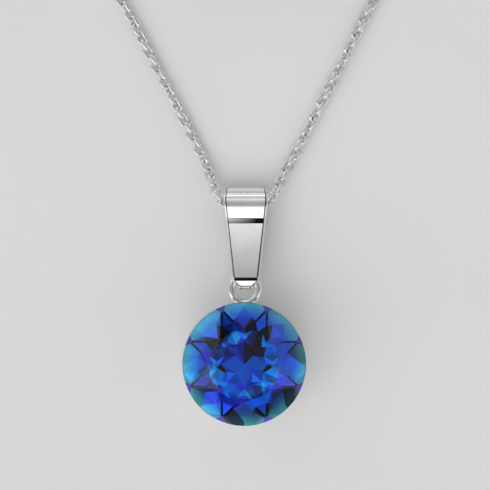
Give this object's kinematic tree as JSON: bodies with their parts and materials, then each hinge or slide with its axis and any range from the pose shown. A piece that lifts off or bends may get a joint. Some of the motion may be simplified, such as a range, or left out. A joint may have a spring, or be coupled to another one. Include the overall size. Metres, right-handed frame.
{
  "type": "pendant necklace",
  "caption": "Pendant necklace: round faceted blue stone in a cup setting, hung by a folded tapering bail on a fine cable chain with a lobster clasp.",
  "frame": {"origin": "middle of the setting cup's flat back, on the surface that the necklace lies on", "axes": "+Z out of the stone's table, away from that surface; +Y from the stone along the bail towards the neck; +X to the right as seen from the front"},
  "size_m": [0.019, 0.0553, 0.0056],
  "materials": {
    "crystal_glass": "polished, foiled behind",
    "adhesive_resin": "clear set resin",
    "cup_silver": "polished, rhodium plated",
    "eye_silver": "polished, rhodium plated",
    "bail_silver": "mirror polished",
    "chain_silver": "diamond-cut facets",
    "ring_silver": "polished wire",
    "clasp_silver": "tumbled and polished",
    "spring_steel": "drawn wire",
    "tie_paper": "paper-covered wire"
  },
  "bodies": {
    "chain": {"chain": "chain_silver", "chain_coil": "chain_silver", "chain_end_left": "chain_silver", "chain_end_right": "chain_silver", "coil_tie": "tie_paper"},
    "bail": {"bail": "bail_silver"},
    "pendant": {"setting_cup": "cup_silver", "setting_eye": "eye_silver", "adhesive_bed": "adhesive_resin", "crystal": "crystal_glass"},
    "jump_ring": {"clasp_jump_ring": "ring_silver"},
    "clasp": {"clasp_body": "clasp_silver", "clasp_pin": "clasp_silver", "clasp_spring": "spring_steel"},
    "clasp_lever": {"clasp_lever": "clasp_silver"},
    "end_ring": {"end_ring": "ring_silver"}
  },
  "joints": [
    {"name": "bail_turn", "type": "hinge", "parent": "chain", "child": "bail", "pos_m": [0.0001, 0.01075, 0.00118], "axis": [1, 0, 0], "continuous": true},
    {"name": "pendant_swing", "type": "hinge", "parent": "bail", "child": "pendant", "pos_m": [0.00003, 0.00585, 0.0022], "axis": [1, 0, 0], "range_deg": [-30, 30]},
    {"name": "jump_ring_swing", "type": "hinge", "parent": "chain", "child": "jump_ring", "pos_m": [-0.0028, 0.04182, 0.0012], "axis": [0, 0, 1], "range_deg": [-40, 40]},
    {"name": "clasp_tilt", "type": "hinge", "parent": "jump_ring", "child": "clasp", "pos_m": [-0.0028, 0.04282, 0.0012], "axis": [1, 0, 0], "range_deg": [-70, 70]},
    {"name": "lever_press", "type": "hinge", "parent": "clasp", "child": "clasp_lever", "pos_m": [-0.00168, 0.04595, 0.00077], "axis": [0, 0, 1], "range_deg": [0, 20], "stiffness_Nm_per_rad": 0.001, "springref_deg": -22.92},
    {"name": "end_ring_swing", "type": "hinge", "parent": "chain", "child": "end_ring", "pos_m": [0.0049, 0.04215, 0.00024], "axis": [1, 0, 0], "range_deg": [-90, 90]}
  ]
}
